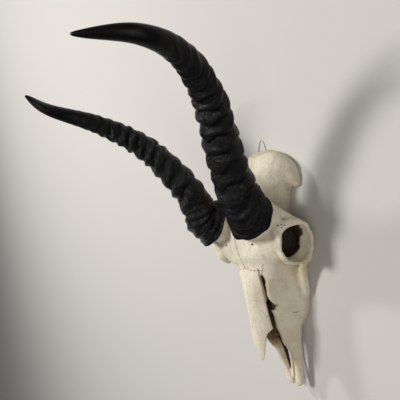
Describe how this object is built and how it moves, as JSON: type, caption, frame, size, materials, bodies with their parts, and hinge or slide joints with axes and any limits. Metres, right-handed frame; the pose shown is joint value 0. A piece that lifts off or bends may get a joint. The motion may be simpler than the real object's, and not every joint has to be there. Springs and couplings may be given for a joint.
{
  "type": "antelope horns on skull cap",
  "caption": "Antelope skull sawn flat behind, with ringed black horns that sweep back and turn inward at the tips.",
  "frame": {"origin": "Middle of the object's length and width, on the sawn face that the skull rests on", "axes": "+Z points away from the sawn face, -Y points along the snout to the nose tip, +Y points back to the horn tips, and +X is the animal's left side"},
  "size_m": [0.1684, 0.2846, 0.1877],
  "materials": {
    "bone": "matte weathered bone",
    "pale_bone": "matte bleached bone",
    "horn": "satin black keratin",
    "twine": "off-white twisted twine"
  },
  "bodies": {
    "root": {"skull_cap": "bone", "nasal_bone_left": "pale_bone", "nasal_bone_right": "pale_bone", "premaxilla_left": "pale_bone", "premaxilla_right": "pale_bone", "horn_left": "horn", "horn_right": "horn", "hanging_cord": "twine"}
  },
  "joints": []
}
